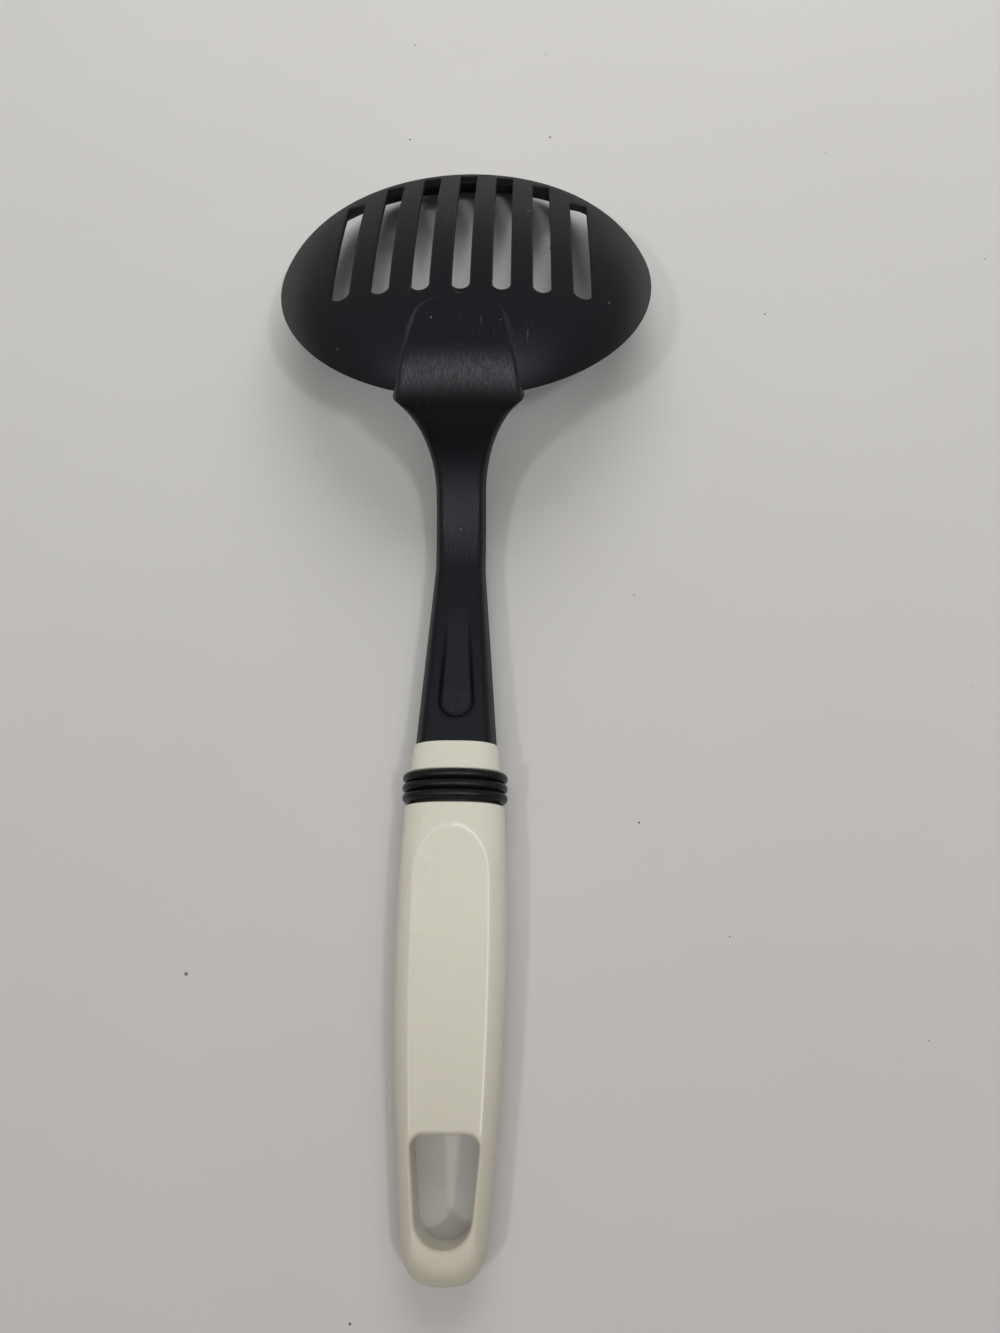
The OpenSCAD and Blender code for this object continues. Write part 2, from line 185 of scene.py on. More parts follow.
# The bowl is turned solid, flat under its rim, and the hollow is turned as a second solid that
# opens a little at the rim and ends below it
rim_start = (bowl_r - rim_edge_r * math.cos(rim_angle), rim_edge_r * math.sin(rim_angle))
outer = [p for p in back_profile(0) if p[1] > rim_start[1]]
outer += eased(rim_start, (bowl_r, 0), (bowl_r - rim_edge_r, 0))
outer += [(bowl_r * share, 0) for share in (0.8, 0.4, 0.02)]

rim_in_r = knuckle_x + math.sqrt((knuckle_r - bowl_wall) ** 2 - knuckle_z ** 2)
rim_flare = ((-0.1 * mm, 0.3 * mm), (0.2 * mm, 0), (1.2 * mm, -0.6 * mm))
hollow_below = 2 * mm
hollow = [p for p in back_profile(bowl_wall) if p[1] > rim_edge_r]
hollow += [(rim_in_r + out, up) for out, up in rim_flare]
hollow += [(bowl_r * share, -hollow_below) for share in (0.8, 0.02)]


# The neck and shaft: the head's handle end, the same black nylon. A flared shaft leaves the
# handle, bends up steeply, and runs over the rim as a raised tongue that fades out on the
# bowl's back. Long rounded edges, sides drawn in from the parting level, a tapered recess on top.
neck_w = 14.3 * mm
neck_t = 7 * mm
bend_r = 41 * mm
crest_r = 19.4 * mm
neck_draft = 1.6 * mm
neck_edge_r = 1.2 * mm
shoulder_w = 36.4 * mm
flare_r = 39 * mm
tongue_rise = 0.9 * mm
tongue_tip = 30 * mm
crest_back = 46.5 * mm
tongue_w = 22 * mm
tongue_round = 7.5 * mm
shaft_l = 52.1 * mm
shaft_w = 21.9 * mm
shaft_t = 11.4 * mm
tang_l = 58 * mm
tang_w = 12.6 * mm
tang_t = 5.6 * mm
tang_edge_r = 0.3 * mm
parting_share = 0.4
shoulder_share = 0.15

# The rings lie round y = 0 until the whole spoon is centred
ring_d = 2.6 * mm
ring_gap = 0.05 * mm
groove_spare = 0.8 * mm
ring_places = ("front", "middle", "rear")
groove_half = (len(ring_places) * ring_d + (len(ring_places) + 1) * ring_gap) / 2
collar_l = 7.6 * mm
grip_l = 115.2 * mm
grip_t = 17.8 * mm
mouth_y = groove_half + collar_l
axis_z = grip_t / 2


def bowl_pt(v, w):
    """A point (y, z) of the bowl's middle plane, v ahead of its centre and w over its rim plane,
    where y counts from the bowl's tip."""
    return Vector(((v - bowl_r) * math.cos(bowl_tilt) + w * math.sin(bowl_tilt),
                   (bowl_r - v) * math.sin(bowl_tilt) + w * math.cos(bowl_tilt)))


# The crest over the rim is tangent to the tongue, and the bend is tangent to crest and shaft
crest_end = math.asin(crest_back / (crown_r + tongue_rise)) - bowl_tilt
crest_c = bowl_pt(0, crown_z) + (crown_r + tongue_rise - crest_r) * Vector(
    (-math.sin(crest_end), math.cos(crest_end)))
bend_y = mouth_y + shaft_l
bend_z = axis_z + neck_t / 2 + bend_r
bend_rise = bend_z - crest_c[1]
bend_run = math.sqrt((bend_r + crest_r) ** 2 - bend_rise ** 2)
bend_angle = math.atan2(bend_run, bend_rise)
tip = Vector((bend_y + bend_run - crest_c[0], 0))
mid_y = (tip[0] - grip_l) / 2
centred = Matrix.Translation((0, -mid_y, 0))

root = tip + bowl_pt(-rim_in_r, 0)
root_angle = math.atan2(root[0] - bend_y, bend_z - root[1])
root_t = (root - Vector((bend_y, bend_z))).length - bend_r
bend_l = bend_angle * bend_r
crest_l = (bend_angle - crest_end) * crest_r
flare_l = math.sqrt(flare_r ** 2 - (flare_r - (shoulder_w - neck_w) / 2) ** 2)


def flare_half(way):
    """Half width of the neck at a length along its upper face from the bend's start, up to the
    shoulders."""
    s = max(0.0, way + flare_l - bend_l - shoulder_share * crest_l)
    return neck_w / 2 + flare_r - math.sqrt(flare_r ** 2 - s * s)


def crest_pt(t):
    """A point (y, z) of the crest's upper face, from the bend's end to the tongue."""
    a = mix(bend_angle, crest_end, t)
    return tip + crest_c + crest_r * Vector((-math.sin(a), math.cos(a)))


def tongue_pt(v):
    """A point (y, z) of the tongue's upper face, v behind the bowl's centre."""
    return tip + bowl_pt(-v, crown_z + math.sqrt((crown_r + tongue_rise) ** 2 - v * v))


shoulder_y = crest_pt(shoulder_share)[0]
end_y = tongue_pt(tongue_tip)[0]


def tongue_half(y):
    """Half width of the tongue, from the shoulders to its rounded tip."""
    into = min(1.0, max(0.0, 1 - (end_y - y) / tongue_round))
    return (mix(shoulder_w, tongue_w, (y - shoulder_y) / (end_y - shoulder_y)) / 2
            * math.sqrt(max(0.0, 1 - into * into)))


# The recess on top of the shaft: round behind, tapered ahead, its floor rising to nothing. The
# spare depth keeps its dark line as clear as a real one's, and the powers shape floor and wall.
recess_l = 34 * mm
recess_r = 5 * mm
recess_tip_w = 6.6 * mm
recess_depth = 1.6 * mm
recess_spare = 0.5 * mm
recess_gap = 6.6 * mm
recess_wall = 1.15 * mm
recess_fade, recess_ease, recess_round = 1.8, 1.5, 0.3
recess_y = mouth_y + recess_gap + recess_r
shaft_slope = (shaft_t - neck_t) / 2 / shaft_l


def recess_drop(x, y):
    """How far the recess lies under the shaft's upper face."""
    ahead = (y - recess_y) / (recess_l - recess_r)
    left = 1 - min(1.0, max(0.0, ahead)) ** recess_fade
    sloping = shaft_slope * (recess_gap + recess_r) * left
    floor = (recess_depth + recess_spare) * left ** recess_ease - sloping
    if ahead < 0:
        into = recess_r - math.hypot(x, y - recess_y)
    else:
        into = mix(recess_r, recess_tip_w / 2, ahead) - abs(x)
    t = min(1.0, max(0.0, into / recess_wall))
    return max(0.0, floor) * mix(t, t * t * (3 - 2 * t), recess_round)


# Points along a section's lower and upper face, and the least upright part of its side
low_steps, top_steps = 5, 26
flank = 0.1 * mm


def neck_ring(high, low, half, draft_share, edge, fall, drop=None):
    """One section, widest at the parting level, with rounded edges: high and low are its middle
    points above and below, fall is how far its upper face drops to the sides, and drop how far a
    recess lies under that face."""
    draft = draft_share * neck_draft * math.sqrt(2 * half / neck_w)
    t = (high - low).length
    up = (high - low) / t
    top = half - min(draft, half / 4)
    r = min(edge, half / 4, t / 8)
    arc = [math.radians(a) for a in range(0, 91, 15)]
    outline = [(i / low_steps * (top - r), 0) for i in range(low_steps)]
    outline += [(top - r + r * math.sin(a), r - r * math.cos(a)) for a in arc]
    outline += [(mix(top, half, 0.5), mix(r, parting_share * t, 0.5)), (half, parting_share * t)]
    shoulder = mix(r, t - parting_share * t - fall - flank, draft_share)
    for a in (math.radians(a) for a in (0, 12, 24, 36, 48, 60, 75, 90)):
        x = top - r + (half - top + r) * math.cos(a)
        outline.append((x, t - fall - shoulder + shoulder * math.sin(a)))
    for i in range(top_steps - 1, -1, -1):
        x = (top - r) * i / top_steps
        outline.append((x, t - fall * (i / top_steps) ** 2 - (drop(x, high[0]) if drop else 0)))
    side = [(x, low[0] + up[0] * w, low[1] + up[1] * w) for x, w in outline]
    return side + [(-x, y, z) for x, y, z in side[-2:0:-1]]


# The tang's sections, as lengths from its tip with shares of its width and thickness: the tip is
# tapered. Under crest and tongue the sections reach into the bowl, which is hollowed out later.
tang_taper = ((0, 0.4, 0.5), (0.9 * mm, 0.8, 0.9), (2.6 * mm, 1, 1), (tang_l - 0.02 * mm, 1, 1))
shaft_steps, bend_steps, crest_steps, tongue_steps = 110, 48, 26, 40
bend_gather = 0.9
root_lift = 0.23 * mm
neck_rings = []
for ahead, width_share, height_share in tang_taper:
    y = mouth_y - tang_l + ahead
    half_t = tang_t / 2 * height_share
    neck_rings.append(neck_ring(Vector((y, axis_z + half_t)), Vector((y, axis_z - half_t)),
                                tang_w / 2 * width_share, 0, tang_edge_r, 0))
for i in range(shaft_steps):
    t = i / shaft_steps
    y = mix(mouth_y, bend_y, t)
    half_t = mix(shaft_t, neck_t, t) / 2
    neck_rings.append(neck_ring(Vector((y, axis_z + half_t)), Vector((y, axis_z - half_t)),
                                mix(shaft_w, neck_w, t) / 2, 1, neck_edge_r, 0, recess_drop))
for i in range(bend_steps):
    t = (i / bend_steps) ** bend_gather
    a, b = bend_angle * t, root_angle * t
    low_r = bend_r + mix(neck_t, root_t, t)
    neck_rings.append(neck_ring(Vector((bend_y + bend_r * math.sin(a), bend_z - bend_r * math.cos(a))),
                                Vector((bend_y + low_r * math.sin(b), bend_z - low_r * math.cos(b))),
                                flare_half(t * bend_l), 1, neck_edge_r, 0))
for i in range(crest_steps + 1):
    t = i / crest_steps
    high = crest_pt(t)
    low = tip + bowl_pt(-mix(rim_in_r, crest_back, t), root_lift)
    half = tongue_half(high[0]) if t > shoulder_share else flare_half(bend_l + t * crest_l)
    neck_rings.append(neck_ring(high, low, half, 1 - t, mix(neck_edge_r, tongue_rise / 2, t),
                                half * half / (2 * crown_r) * t))
for i in range(1, tongue_steps):
    v = mix(crest_back, tongue_tip, math.sin(math.pi / 2 * i / tongue_steps))
    high = tongue_pt(v)
    half = tongue_half(high[0])
    neck_rings.append(neck_ring(high, tip + bowl_pt(-v, root_lift), half, 0, tongue_rise / 2,
                                half * half / (2 * crown_r)))


# The slots: seven open slots through the bowl, side by side along the spoon, so that what is
# lifted drains. They are round towards the neck and square with small corners ahead, and the
# tool left their edges slightly rounded.
slot_n = 7
slot_w = 5.2 * mm
slot_pitch = 11.6 * mm
slot_back = 27.2 * mm
slot_margin = 15.5 * mm
slot_corner_r = 1 * mm
slot_edge_r = 0.55 * mm
slot_steps = 28

# A cutter opens over a rounded edge in a few turns, the last of them wider by a share of the
# edge's radius, and then runs on, straight, past the face
edge_turns = [math.radians(a) for a in (75, 60, 45, 30, 15, 0)]
edge_share = 0.74


def slot_ring(u, grow, height):
    """One slot's outline widened by grow, at the height that its place on the bowl asks for."""
    side, r = slot_w / 2 + grow, slot_corner_r + grow
    front = math.sqrt((bowl_r - slot_margin) ** 2 - u * u) + grow
    round_v = slot_w / 2 - slot_back
    arc = [math.radians(a) for a in range(0, 91, 15)]
    ways = [mix(round_v, front - r, i / slot_steps) for i in range(1, slot_steps)]
    half = [(side * math.sin(a), round_v - side * math.cos(a)) for a in arc]
    half += [(side, v) for v in ways]
    half += [(side - r + r * math.cos(a), front - r + r * math.sin(a)) for a in arc]
    plan = half + [(-x, v) for x, v in half[:0:-1]]
    return [(u + x, v, height(math.hypot(u + x, v))) for x, v in plan]


def slot_rings(u, wider=1.0 * mm, past=4 * mm, run=0.9 * mm, rise=0.24 * mm):
    """The cutter for one slot: a straight shaft that opens over a rounded edge at both faces. It
    goes on by run and rise, and ends wider than the slot and past the bowl."""
    rings = [slot_ring(u, slot_edge_r + wider, lambda r: bowl_depth + past)]
    for face, sign, turns in ((0, 1, edge_turns), (bowl_wall, -1, edge_turns[::-1])):
        rows = []
        for a in turns:
            grow = slot_edge_r * (1 - math.cos(a))
            drop = slot_edge_r * (1 - math.sin(a))
            rows.append(slot_ring(u, grow, lambda r, d=drop: back_height(r, face) - sign * d))
        beyond = slot_ring(u, slot_edge_r * edge_share + run,
                           lambda r: back_height(r, face) + sign * rise)
        rings += [beyond] + rows if sign == 1 else rows + [beyond]
    rings.append(slot_ring(u, slot_edge_r + wider, lambda r: -past))
    return rings


in_bowl = (centred @ Matrix.Translation((0, tip[0], 0)) @ Matrix.Rotation(-bowl_tilt, 4, "X")
           @ Matrix.Translation((0, -bowl_r, 0)))
head = body("spoon_head", turned(outer), place=in_bowl)
moulded(head, body("neck", neck_rings, place=centred), "UNION")
moulded(head, body("hollow", turned(hollow), place=in_bowl), "DIFFERENCE")
slots = [slot_rings((i - (slot_n - 1) / 2) * slot_pitch) for i in range(slot_n)]
moulded(head, body("slots", *slots, place=in_bowl), "DIFFERENCE")
smooth(head)
# The solids' facets lie just inside the true arcs, so the crest comes down to their box
crest_top = max(v.co.z for v in head.data.vertices)
for v in head.data.vertices:
    v.co.z *= min(1.0, cad_box[1][2] / crest_top)


def feed(tree, node, feeds):
    """Sets a node's inputs, each to a plain value or to the output of another node."""
    for name, value in feeds.items():
        if isinstance(value, bpy.types.NodeSocket):
            tree.links.new(value, node.inputs[name])
        else:
            node.inputs[name].default_value = value
    return node


def part(tree, kind, feeds=(), **settings):
    """A node of a material or group, with its settings and what is fed to it."""
    made = tree.nodes.new("ShaderNode" + kind)
    for name, value in settings.items():
        setattr(made, name, value)
    return feed(tree, made, dict(feeds))


def maths(tree, way, *values):
    """What a Math node makes of values or sockets."""
    return part(tree, "Math", dict(enumerate(values)), operation=way).outputs[0]


def ramp(tree, value, start, end, low=0, high=1, **settings):
    """Goes from low to high while the value fed to it goes from start to end."""
    return part(tree, "MapRange", {"Value": value, "From Min": start, "From Max": end,
                                   "To Min": low, "To Max": high}, **settings).outputs[0]


def blended(tree, share, low, high, way="MIX"):
    """A colour that goes from low to high by a share. Both are plain colours or sockets."""
    low, high = [c if isinstance(c, bpy.types.NodeSocket) else (*c, 1) for c in (low, high)]
    return part(tree, "Mix", {"Factor": share, "A": low, "B": high}, data_type="RGBA",
                blend_type=way).outputs["Result"]


def noise(tree, place, scale, detail, roughness=0.5):
    """A noise between 0 and 1 at a place."""
    return part(tree, "TexNoise", {"Vector": place, "Scale": scale, "Detail": detail,
                                   "Roughness": roughness}).outputs[0]


def bump(tree, height, strength, depth):
    """The normal of a surface that rises with a height."""
    return part(tree, "Bump", {"Height": height, "Strength": strength, "Distance": depth}).outputs[0]


def along(tree, kind, axis):
    """One axis of a texture coordinate: Object is a place on a piece, Normal the way it faces, and
    Generated, in the room, the way to a wall."""
    coordinate = part(tree, "TexCoord").outputs[kind]
    return part(tree, "SeparateXYZ", {0: coordinate}).outputs[axis]


def effect(name, asks, gives):
    """An empty shader node group with float inputs and outputs: its tree, what it is asked with,
    and the node that gives its results."""
    tree = bpy.data.node_groups.new(name, "ShaderNodeTree")
    for ask, value in asks.items():
        socket = tree.interface.new_socket(ask, in_out="INPUT", socket_type="NodeSocketFloat")
        socket.default_value = value
    for give in gives:
        tree.interface.new_socket(give, in_out="OUTPUT", socket_type="NodeSocketFloat")
    return tree, tree.nodes.new("NodeGroupInput").outputs, tree.nodes.new("NodeGroupOutput")


def placed(tree, group, **values):
    """The outputs of a group placed in a material with its own values."""
    return feed(tree, part(tree, "Group", node_tree=group), values).outputs


# The fine skin that a spark-eroded mould leaves on plastic: a tight grain, and clouds of a
# slightly different gloss, both drawn out along the spoon where Stretch is under 1
mould_skin, ask, give = effect("mould_skin", {"Grain": 1800, "Clouds": 60, "Stretch": 1},
                               ("Height", "Cloud"))
spot = part(mould_skin, "TexCoord").outputs["Object"]
stretch = part(mould_skin, "CombineXYZ", {"X": 1, "Y": ask["Stretch"], "Z": ask["Stretch"]})
drawn = part(mould_skin, "VectorMath", {0: spot, 1: stretch.outputs[0]}, operation="MULTIPLY")
grain = noise(mould_skin, drawn.outputs[0], ask["Grain"], 3, 0.6)
cloud = noise(mould_skin, drawn.outputs[0], ask["Clouds"], 4, 0.55)
feed(mould_skin, give, {"Height": grain, "Cloud": cloud})


# Loose specks of dust and crumbs: small spots of uneven size in some of a grid's cells, which
# lie only where a face looks up
specks, ask, give = effect("specks", {"Cells": 200, "Size": 0.05, "Share": 0.2}, ("Mask",))
spot = part(specks, "TexCoord").outputs["Object"]
cell = part(specks, "TexVoronoi", {"Vector": spot, "Scale": ask["Cells"]}, voronoi_dimensions="2D")
chance = part(specks, "SeparateColor", {"Color": cell.outputs["Color"]})
picked = maths(specks, "LESS_THAN", chance.outputs[0], ask["Share"])
reach = maths(specks, "MULTIPLY", ask["Size"], chance.outputs[1])
near = maths(specks, "LESS_THAN", cell.outputs["Distance"], reach)
held = ramp(specks, along(specks, "Normal", "Z"), 0.6, 0.8)
mask = maths(specks, "MULTIPLY", maths(specks, "MULTIPLY", picked, near), held)
feed(specks, give, {"Mask": mask})


# Short light scratches that lie one way, in patches where the plastic rubs in a drawer
scuffs, ask, give = effect("scuffs", {"Lines": 1400, "Patches": 55, "Rare": 0.6}, ("Mask",))
spot = part(scuffs, "TexCoord").outputs["Object"]
drawn = part(scuffs, "VectorMath", {0: spot, 1: (1, 0.16, 0.3)}, operation="MULTIPLY")
line = noise(scuffs, drawn.outputs[0], ask["Lines"], 2)
patch = noise(scuffs, spot, ask["Patches"], 2)
fine = ramp(scuffs, line, 0.6, 0.75)
there = ramp(scuffs, patch, ask["Rare"], 0.75)
feed(scuffs, give, {"Mask": maths(scuffs, "MULTIPLY", fine, there)})


def shader(name):
    """A new material, its node tree and its Principled BSDF."""
    paint = bpy.data.materials.new(name)
    paint.use_nodes = True
    return paint, paint.node_tree, paint.node_tree.nodes["Principled BSDF"]


nylon, tree, bsdf = shader("black_nylon")
skin_of = placed(tree, mould_skin, Grain=1500, Clouds=45, Stretch=0.5)
dust = placed(tree, specks, Cells=260, Size=0.09, Share=0.03)
rubbed = placed(tree, scuffs, Lines=1500, Patches=60, Rare=0.6)
fibres = placed(tree, mould_skin, Grain=3600, Clouds=500, Stretch=0.16)
edge_highlight_fac = part(tree, "Attribute", attribute_name="edge_highlight").outputs["Fac"]
highlight_and_rub = part(tree, "Attribute", attribute_name="highlight_and_rub").outputs["Fac"]
streaks = ramp(tree, fibres["Height"], 0.38, 0.72)
colour = blended(tree, skin_of["Cloud"], (0.0015, 0.0018, 0.0029), (0.0028, 0.0033, 0.0048))
colour = blended(tree, dust["Mask"], colour, (0.1, 0.1, 0.1))
colour = blended(tree, rubbed["Mask"], colour, (0.05, 0.052, 0.056))
# painted highlight: the tongue's edge is painted pale where it catches the light
colour = blended(tree, maths(tree, "MULTIPLY", edge_highlight_fac, skin_of["Cloud"]), colour, (0.07, 0.073, 0.078))
# painted highlight: the crest's band, where the highlight lies, is painted pale grey in fine streaks
colour = blended(tree, maths(tree, "MULTIPLY", highlight_and_rub, streaks), colour, (0.068, 0.07, 0.073))
# the grain hides the gloss where one looks along it
gloss = ramp(tree, skin_of["Cloud"], 0.3, 0.7, 0.33, 0.43)
slant = part(tree, "LayerWeight", {"Blend": 0.5}).outputs["Facing"]
gloss = maths(tree, "ADD", gloss, ramp(tree, slant, 0.45, 0.9, 0, 0.25))
feed(tree, bsdf, {"Base Color": colour, "Roughness": gloss, "Specular Tint": (0.86, 0.92, 1, 1),
                  "Normal": bump(tree, skin_of["Height"], 0.7, 0.05 * mm)})
head.data.materials.append(nylon)

# How much each place is lightened: the crest's painted highlight most in its middle, the recess,
# rubbed, a little at its round end, and the tongue's edge, a painted highlight, more on the left
highlight_w = 0.7 * mm
highlight_left, highlight_right = 0.9, 0.35
crest_highlight_at = 0.55
crest_highlight_w = 4 * mm
crest_margin = 1 * mm
recess_rub = 0.22
recess_rub_w = 5 * mm
tip_inset = 0.05 * mm
edge_highlight = head.data.attributes.new("edge_highlight", "FLOAT", "POINT")
highlight_and_rub = head.data.attributes.new("highlight_and_rub", "FLOAT", "POINT")
crest_y = crest_pt(crest_highlight_at)[0]
for v in head.data.vertices:
    y = v.co.y + mid_y
    # painted highlight across the middle of the crest
    if abs(v.co.x) < tongue_half(y) - crest_margin and v.co.z > axis_z / 2:
        highlight_and_rub.data[v.index].value = math.exp(-((y - crest_y) / crest_highlight_w) ** 2)
    if recess_drop(v.co.x, y) > recess_depth / 2 and v.co.z > axis_z:
        highlight_and_rub.data[v.index].value = recess_rub * math.exp(-((y - recess_y) / recess_rub_w) ** 2)
    # painted highlight along the tongue's edge, stronger on the left
    if shoulder_y < y < end_y + highlight_w and v.co.z > axis_z / 2:
        side = abs(abs(v.co.x) - tongue_half(min(y, end_y - tip_inset)))
        tip_gap = abs(y - end_y) if abs(v.co.x) < tongue_half(end_y - tip_inset) else side
        near = max(0.0, 1 - min(side, tip_gap) / highlight_w)
        edge_highlight.data[v.index].value = near * (highlight_left if v.co.x < 0 else highlight_right)
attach(head, "root")
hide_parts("head")


# The handle: one cream-white moulding pushed onto the head's tang. A plain collar in front, a
# groove for the three rings, and a grip with a flat facet above and below, which narrows to a
# rounded end with a hanging hole.
grip_w = 28 * mm
grip_front_w = 26 * mm
grip_tail_w = 18.8 * mm
tail_t = 12.9 * mm
tail_round = 8 * mm
crown_t = 20.4 * mm
collar_w = 22.8 * mm
collar_rear_w = 24.2 * mm
collar_t = 14.6 * mm
edge_r = 0.8 * mm
facet_edge = 0.5 * mm
facet_fade = 4 * mm
fade_l = 13 * mm
collar_power, grip_power, swell_power = 2.5, 2.3, 3.5
belly_share, swell_share, front_share, end_share = 0.34, 0.2, 0.91, 0.75
ring_w = 28 * mm
ring_h = 17.6 * mm
ring_bend_share = 0.72

# Points of a quarter section beside and on its facet. They are gathered where the two meet, or
# at a steep angle where there is no facet.
side_steps, facet_steps = 26, 14
steep = math.radians(84)
gathered = 1.6


def flats(s):
    """The grip's thickness from facet to facet, at a share of its length."""
    return mix(grip_t, tail_t, s)


def grip_width(s):
    """The grip's width, which swells to the belly and narrows to the tail."""
    if s < belly_share:
        return mix(grip_front_w, grip_w, math.sin(math.pi / 2 * s / belly_share))
    return mix(grip_tail_w, grip_w, math.cos(math.pi / 2 * (s - belly_share) / (1 - belly_share)))


def grip_height(s):
    """The height that the grip's rounded section would have if the facets didn't cut it."""
    swell = math.sin(math.pi / 2 * min(1, max(0, s) / swell_share)) ** swell_power
    return flats(s) * mix(front_share, crown_t / flats(belly_share), swell)


def soft_min(a, b, k):
    """The smaller of two heights, rounded where they meet."""
    h = max(k - abs(a - b), 0.0) / k
    return min(a, b) - h * h * k / 4


def round_ring(y, z, w, h, power, flat=None, edge=facet_edge):
    """A rounded section, cut by flats at a distance from its middle, with points gathered
    at the flats' edges."""
    turn = steep
    if flat is not None and flat < h / 2:
        turn = min(turn, math.asin((2 * flat / h) ** (power / 2)))
    steps = [turn * (1 - (1 - i / side_steps) ** gathered) for i in range(side_steps)]
    steps += [mix(turn, math.pi / 2, (i / facet_steps) ** gathered) for i in range(facet_steps + 1)]
    quarter = []
    for a in steps:
        high = h / 2 * math.sin(a) ** (2 / power)
        if flat is not None:
            high = soft_min(high, flat, edge)
        quarter.append((w / 2 * max(0.0, math.cos(a)) ** (2 / power), high))
    upper = quarter + [(-x, up) for x, up in quarter[-2::-1]]
    return [(x, y, z + up) for x, up in upper] + [(x, y, z - up) for x, up in upper[-2:0:-1]]


ring_half_w = (ring_w - ring_d) / 2
ring_half_h = (ring_h - ring_d) / 2
ring_side_r = ring_bend_share * ring_half_h
ring_run = ring_half_w - ring_side_r
ring_over_r = ((ring_run ** 2 + ring_half_h ** 2 - ring_side_r ** 2)
               / (2 * (ring_half_h - ring_side_r)))
ring_turn = math.atan2(ring_over_r - ring_half_h, ring_run)


def ring_line(a, inset):
    """A ring's middle line at an angle, or a line set in from it: tight at the sides, flat above
    and below."""
    c, s = math.cos(a), math.sin(a)
    if math.asin(min(1, abs(s))) < ring_turn:
        return math.copysign(ring_run, c) + (ring_side_r - inset) * c, (ring_side_r - inset) * s
    return ((ring_over_r - inset) * c,
            (ring_over_r - inset) * s + math.copysign(1, s) * (ring_half_h - ring_over_r))


def groove_ring(y):
    """The groove's floor under the rings, with the same number of points as a rounded section."""
    n = 4 * (side_steps + facet_steps)
    points = []
    for i in range(n):
        x, up = ring_line(2 * math.pi * i / n, ring_d / 2 + ring_gap)
        points.append((x, y, axis_z + up))
    return points


def grip_ring(y, inset=0.0):
    """A section of the grip, set in all round, whose facets fade out towards the tail."""
    s = -y / grip_l
    fade = min(1.0, max(0.0, (fade_l - grip_l - y) / fade_l))
    return round_ring(y, flats(s) / 2, grip_width(s) - 2 * inset, grip_height(s) - 2 * inset,
                      grip_power, flats(s) / 2, mix(facet_edge, facet_fade, fade * fade))


# From the collar's mouth back to the tail: rounded edges, with the groove between them
collar_edge = edge_r / 2
groove_rear = groove_half + groove_spare
grip_steps, tail_steps = 190, 24
quarter_turn = [math.radians(a) for a in range(0, 91, 15)]
handle_rings = []
for a in quarter_turn:
    inset = edge_r * (1 - math.sin(a))
    handle_rings.append(round_ring(mouth_y - edge_r * (1 - math.cos(a)), axis_z, collar_w - 2 * inset,
                                   collar_t - 2 * inset, collar_power))
for t in (0.25, 0.5, 0.75, 1):
    y = mix(mouth_y - edge_r, groove_half + collar_edge, t)
    handle_rings.append(round_ring(y, axis_z, mix(collar_w, collar_rear_w, t), collar_t, collar_power))
for a in quarter_turn[1:]:
    inset = collar_edge * (1 - math.cos(a))
    handle_rings.append(round_ring(groove_half + collar_edge * (1 - math.sin(a)), axis_z,
                                   collar_rear_w - 2 * inset, collar_t - 2 * inset, collar_power))
handle_rings += [groove_ring(groove_half), groove_ring(-groove_rear)]
for a in quarter_turn:
    handle_rings.append(grip_ring(-groove_rear - edge_r * (1 - math.cos(a)),
                                  edge_r * (1 - math.sin(a))))
for i in range(1, grip_steps + 1):
    handle_rings.append(grip_ring(-mix(groove_rear + edge_r, grip_l - tail_round, i / grip_steps)))
for i in range(1, tail_steps + 1):
    a = math.pi / 2 * i / tail_steps
    handle_rings.append(grip_ring(-(grip_l - tail_round) - tail_round * math.sin(a),
                                  tail_round * (1 - math.cos(a)) * end_share))

hole_l = 23.9 * mm
hole_w = 16.2 * mm
hole_corner_r = 2.9 * mm
hole_end_r = 6.6 * mm
hole_margin = 8 * mm
hole_edge_r = 1.1 * mm
hole_y = hole_margin - grip_l
hole_end_steps, hole_corner_steps = 36, 14
tang_gap = 0.1 * mm
tang_end_gap = 1.5 * mm
socket_past = 1 * mm


def hole_ring(wider, share, lift):
    """The hanging hole's outline, widened, at a share of the grip's thickness and a lift."""
    side = Vector((hole_w / 2 - hole_corner_r, hole_y + hole_l - hole_corner_r))
    end = Vector((0, hole_y + hole_end_r))
    way = end - side
    lean = math.atan2(way[1], way[0]) + math.acos((hole_corner_r - hole_end_r) / way.length)
    lean -= 2 * math.pi if lean > math.pi else 0
    other = Vector((-side[0], side[1]))
    ends = [k / hole_end_steps for k in range(hole_end_steps + 1)]
    corners = [k / hole_corner_steps for k in range(hole_corner_steps + 1)]
    turns = [(end, hole_end_r, mix(-math.pi - lean, lean, t)) for t in ends]
    turns += [(side, hole_corner_r, mix(lean, math.pi / 2, t)) for t in corners]
    turns += [(other, hole_corner_r, mix(math.pi / 2, math.pi - lean, t)) for t in corners]
    points = []
    for centre, r, a in turns:
        x = centre[0] + (r + wider) * math.cos(a)
        y = centre[1] + (r + wider) * math.sin(a)
        points.append((x, y, share * flats(-y / grip_l) + lift))
    return points


def hole_rings(run=1.2 * mm, rise=0.32 * mm):
    """The cutter for the hole: straight inside, opening over a rounded edge above and below, and
    going on by run and rise."""
    opening = [(hole_edge_r * edge_share + run, -rise)]
    for a in edge_turns:
        opening.append((hole_edge_r * (1 - math.cos(a)), hole_edge_r * (1 - math.sin(a))))
    rings = [hole_ring(grow, 1, -drop) for grow, drop in opening]
    return rings + [hole_ring(grow, 0, drop) for grow, drop in opening[::-1]]


def bar_rings(half_w, half_t, start, end):
    """A straight bar along the spoon's axis."""
    return [[(x * half_w, y, axis_z + z * half_t) for x, z in ((1, -1), (1, 1), (-1, 1), (-1, -1))]
            for y in (start, end)]


